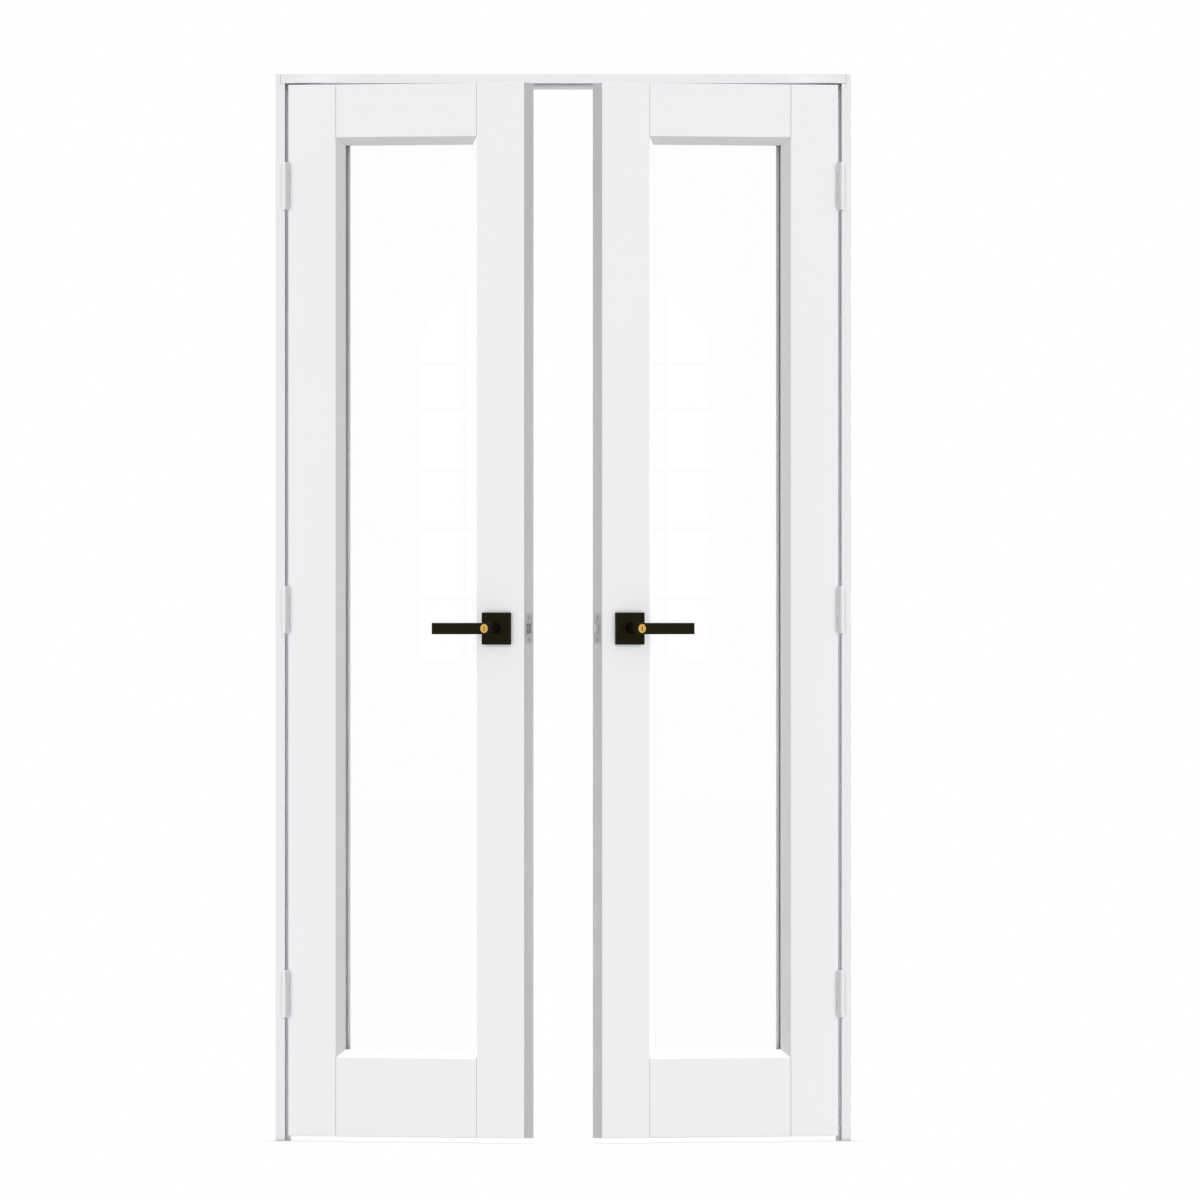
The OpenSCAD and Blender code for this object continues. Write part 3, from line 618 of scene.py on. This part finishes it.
def front_eased(piece, width, to_leaf):
    """Rounds the bar's edges, but not those of its back, where the neck runs into it."""
    sharp_from = math.radians(28)
    faces_at = {}
    for face in piece.data.polygons:
        for key in face.edge_keys:
            faces_at.setdefault(key, []).append(face)
    bpy.ops.object.mode_set(mode="EDIT")
    bpy.ops.mesh.select_mode(type="EDGE")
    bpy.ops.mesh.select_all(action="DESELECT")
    bpy.ops.object.mode_set(mode="OBJECT")
    for edge in piece.data.edges:
        faces = faces_at[edge.key]
        sharp = faces[0].normal.angle(faces[1].normal) > sharp_from
        front = all(face.normal.dot(to_leaf) < 0.9 for face in faces)
        edge.select = sharp and front
    bpy.ops.object.mode_set(mode="EDIT")
    bpy.ops.mesh.bevel(offset=width, segments=3, clamp_overlap=False)
    bpy.ops.object.mode_set(mode="OBJECT")
    bpy.ops.object.shade_smooth_by_angle(angle=math.radians(31))
    return flats_kept(piece)


bar_arris = 0.001
for hand in ("left", "right"):
    through = through_leaf(hand)
    for node, to_leaf in (("lever_outer_" + hand, through), ("lever_inner_" + hand, -through)):
        fitted(front_eased(merged_copy(node), bar_arris, to_leaf), node, dark_bronze)
    for node, width in (
        ("rose_outer_" + hand, 0.0013),
        ("rose_inner_" + hand, 0.0013),
        ("turn_button_" + hand, 0.0006),
    ):
        fitted(eased(merged_copy(node), width, 3), node, dark_bronze)

# ---------------------------------------------------------------------------
# Key plugs. Turned brass with a milled keyway, running in the end of each
# outer lever, polished to a soft gloss, with painted shade inside the keyway.
# ---------------------------------------------------------------------------
turned_brass, tree, shader, place = new_material("turned_brass")
brushed = node_at(tree, "ShaderNodeGroup", -600, 0, node_tree=satin_grain)
brushed.inputs["Line Stretch"].default_value = (1800.0, 1800.0, 1800.0)
brushed.inputs["Line Height"].default_value = 0.000008
tree.links.new(place, brushed.inputs["Position"])
brass_tone = two_tones(tree, brushed.outputs["Cloud"], (0.7, 0.4, 0.09), (0.9, 0.6, 0.18), -300, 150)
# Painted shade: the brass is darkened in the keyway and other hollows, found by ambient occlusion
keyway_shade_colour = (0.1, 0.055, 0.012)
keyway_shade_reach = 0.003
keyway_shaded = with_corner_shade(tree, brass_tone, keyway_shade_colour, keyway_shade_reach, 0.8, 0, 250)
tree.links.new(keyway_shaded, shader.inputs["Base Color"])
tree.links.new(map_range(tree, brushed.outputs["Lines"], 0.26, 0.42, -300, -100), shader.inputs["Roughness"])
tree.links.new(brushed.outputs["Normal"], shader.inputs["Normal"])
shader.inputs["Metallic"].default_value = 0.9

plug_arris = 0.0003
for hand in ("left", "right"):
    fitted(eased(merged_copy("key_plug_" + hand), plug_arris), "key_plug_" + hand, turned_brass)

# ---------------------------------------------------------------------------
# Lock insides and edge furniture. Satin steel: spindles, the gear case with
# the two bolts and their guide plates, the latch with its case, faceplate
# and strike plate, let in flush with the meeting edges.
# ---------------------------------------------------------------------------
satin_steel = brushed_metal(
    "satin_steel", (0.7, 0.7, 0.71), (0.8, 0.8, 0.81),
    (1200.0, 1200.0, 30.0), (0.34, 0.46), metallic=0.85
)

for node, width in (
    ("spindle_left", 0.0004),
    ("spindle_right", 0.0004),
    ("gear_case_left", 0.0005),
    ("top_bolt_left", 0.0004),
    ("bottom_bolt_left", 0.0004),
    ("bolt_guides_left", 0.0002),
    ("strike_plate_left", 0.0003),
    ("faceplate_right", 0.0003),
    ("latch_case_right", 0.0004),
    ("latch_bolt_right", 0.0006),
):
    fitted(eased(merged_copy(node), width), node, satin_steel)

# ---------------------------------------------------------------------------
# Studio. A pale floor, a pale sky of soft light, and for each leaf one soft
# lamp on its own side, high and in front. The frame has one from straight in
# front, and a weak lamp behind shapes the back.
# ---------------------------------------------------------------------------
sky_seen = 1.0
sky_light = 0.69
zenith_light = 0.46
floor_light = 0.54
floor_size = 180.0
floor_drop = 0.0005
contact_reach = 0.05
contact_shade = 0.7

world = bpy.data.worlds.new("studio")
world.use_nodes = True
scene.world = world
tree = world.node_tree
tree.nodes.clear()
path = node_at(tree, "ShaderNodeLightPath", -600, 0)
seen = node_at(tree, "ShaderNodeMath", -400, 0, operation="MAXIMUM")
level = node_at(tree, "ShaderNodeMapRange", -200, 0)
level.inputs["To Max"].default_value = sky_seen
way = node_at(tree, "ShaderNodeTexCoord", -800, -300)
height = node_at(tree, "ShaderNodeSeparateXYZ", -600, -300)
dimmed = node_at(tree, "ShaderNodeMapRange", -400, -300)
dimmed.inputs["To Min"].default_value = sky_light
dimmed.inputs["To Max"].default_value = zenith_light
tree.links.new(way.outputs["Generated"], height.inputs["Vector"])
tree.links.new(height.outputs["Z"], dimmed.inputs["Value"])
tree.links.new(dimmed.outputs["Result"], level.inputs["To Min"])
glow = node_at(tree, "ShaderNodeBackground", 0, 0, Color=(1, 1, 1, 1))
output = node_at(tree, "ShaderNodeOutputWorld", 200, 0)
tree.links.new(path.outputs["Is Camera Ray"], seen.inputs[0])
tree.links.new(path.outputs["Is Transmission Ray"], seen.inputs[1])
tree.links.new(seen.outputs["Value"], level.inputs["Value"])
tree.links.new(level.outputs["Result"], glow.inputs["Strength"])
tree.links.new(glow.outputs["Background"], output.inputs["Surface"])

pale_floor = bpy.data.materials.new("pale_floor")
pale_floor.use_nodes = True
pale_floor.cycles.emission_sampling = "NONE"
tree = pale_floor.node_tree
tree.nodes.clear()
path = node_at(tree, "ShaderNodeLightPath", -600, 0)
seen = node_at(tree, "ShaderNodeMath", -400, 0, operation="MAXIMUM")
# The floor's glow darkens near whatever stands on it, by ambient occlusion: a painted contact shadow
contact = node_at(tree, "ShaderNodeAmbientOcclusion", -600, 250, samples=8, Distance=contact_reach)
softened = node_at(tree, "ShaderNodeMapRange", -400, 250)
softened.inputs["To Min"].default_value = contact_shade
level = node_at(tree, "ShaderNodeMapRange", -200, 0)
level.inputs["To Min"].default_value = floor_light
level.inputs["To Max"].default_value = sky_seen
glow = node_at(tree, "ShaderNodeEmission", 0, 0)
output = node_at(tree, "ShaderNodeOutputMaterial", 200, 0)
tree.links.new(path.outputs["Is Camera Ray"], seen.inputs[0])
tree.links.new(path.outputs["Is Transmission Ray"], seen.inputs[1])
tree.links.new(seen.outputs["Value"], level.inputs["Value"])
tree.links.new(contact.outputs["AO"], softened.inputs["Value"])
tree.links.new(softened.outputs["Result"], glow.inputs["Color"])
tree.links.new(level.outputs["Result"], glow.inputs["Strength"])
tree.links.new(glow.outputs["Emission"], output.inputs["Surface"])

bpy.ops.object.select_all(action="DESELECT")
bpy.ops.mesh.primitive_plane_add(size=floor_size, location=(0, 0, -floor_drop))
floor = bpy.context.active_object
floor.name = "floor"
floor.data.materials.append(pale_floor)


def plain_glow(name, strength):
    """A surface that gives off this much light and nothing else."""
    material = bpy.data.materials.new(name)
    material.use_nodes = True
    material.cycles.emission_sampling = "NONE"
    tree = material.node_tree
    tree.nodes.clear()
    glow = node_at(tree, "ShaderNodeEmission", 0, 0, Strength=strength)
    output = node_at(tree, "ShaderNodeOutputMaterial", 200, 0)
    tree.links.new(glow.outputs["Emission"], output.inputs["Surface"])
    return material


# An arched window off to each side, seen only in reflections, and faintly in the panes
window_glow = plain_glow("window_glow", 1.3)
window_bars = plain_glow("window_bars", 0.45)
sill, spring, top = 0.925, 1.542, 1.677
half_width = top - spring
bar_heights = (1.522, 1.43, 1.31, 1.19, 1.05)
bar_width = 0.008
bar_lift = 0.004
window_away = 3


def card(x, z, width, height, lift, material):
    """An upright rectangle that faces -Y."""
    bpy.ops.mesh.primitive_plane_add(size=1, location=(x, -lift, z), rotation=(math.radians(90), 0, 0))
    made = bpy.context.active_object
    made.scale = (width, height, 1)
    bpy.ops.object.transform_apply(location=True, rotation=True, scale=True)
    made.data.materials.append(material)
    return made


for hand, side in (("left", -1), ("right", 1)):
    bpy.ops.object.select_all(action="DESELECT")
    bpy.ops.mesh.primitive_circle_add(
        vertices=64, radius=half_width, fill_type="NGON",
        location=(0, 0, spring), rotation=(math.radians(90), 0, 0)
    )
    window = bpy.context.active_object
    bpy.ops.object.transform_apply(location=True, rotation=True, scale=True)
    window.data.materials.append(window_glow)
    cards = [card(0, (sill + spring) / 2, 2 * half_width, spring - sill, 0, window_glow)]
    for x in (-half_width / 3, half_width / 3):
        cards.append(card(x, (sill + top) / 2, bar_width, top - sill, bar_lift, window_bars))
    for z in bar_heights:
        cards.append(card(0, z, 2 * half_width, bar_width, bar_lift, window_bars))
    pick(window)
    for piece in cards:
        piece.select_set(True)
    bpy.ops.object.join()
    # Where a level look from the front goes once the pane has turned it back
    pane = through_leaf(hand)
    glance = Vector((0, 1, 0)) - 2 * pane.y * pane
    # The middle line of the window shows here on the pane
    on_pane = Vector((side * 0.178, -0.277, 0))
    aside = Matrix.Translation(on_pane + window_away * glance)
    window.data.transform(aside @ glance.to_track_quat("Y", "Z").to_matrix().to_4x4())
    window.name = "window_" + hand
    window.visible_camera = False
    window.visible_diffuse = False
    window.visible_transmission = False
    window.visible_shadow = False


def soft_lamp(name, towards, strength, spread, receivers=None, blockers=None):
    """A distant soft lamp that shines this way, on these pieces or on all."""
    lamp_data = bpy.data.lights.new(name, "SUN")
    lamp_data.energy = strength
    lamp_data.angle = math.radians(spread)
    lamp = bpy.data.objects.new(name, lamp_data)
    lamp.rotation_euler = Vector(towards).to_track_quat("-Z", "Y").to_euler()
    scene.collection.objects.link(lamp)
    if receivers is not None:
        lamp.light_linking.receiver_collection = receivers
        lamp.light_linking.blocker_collection = blockers
    return lamp


# Only the painted timber shades the front and side lamps, so the levers throw no hard shadow
timber = bpy.data.collections.new("timber")
for piece in scene.objects:
    painted = "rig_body" in piece and piece.data.materials
    if painted and piece.data.materials[0].name.startswith(("sprayed", "bead")):
        timber.objects.link(piece)

# Each leaf and its hinges take their own side lamp, and the rest of the frame the front lamp
hung = {"left": bpy.data.collections.new("hung_left"), "right": bpy.data.collections.new("hung_right")}
standing = bpy.data.collections.new("standing")
for piece in scene.objects:
    if piece.name.endswith("_finished"):
        if piece["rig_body"] == "frame" and "hinge" not in piece.name:
            standing.objects.link(piece)
        elif "right" in piece.name:
            hung["right"].objects.link(piece)
        else:
            hung["left"].objects.link(piece)

soft_lamp("front_lamp", (0.0, 0.94, -0.34), 1.25, 40, standing, timber)
for hand, side in (("left", -1), ("right", 1)):
    soft_lamp("side_lamp_" + hand, (-0.76 * side, 0.232, -0.58), 2.3, 30, hung[hand], timber)
soft_lamp("back_lamp", (0.25, -0.75, -0.6), 0.9, 40)

scene.view_settings.view_transform = "Standard"
scene.view_settings.look = "None"
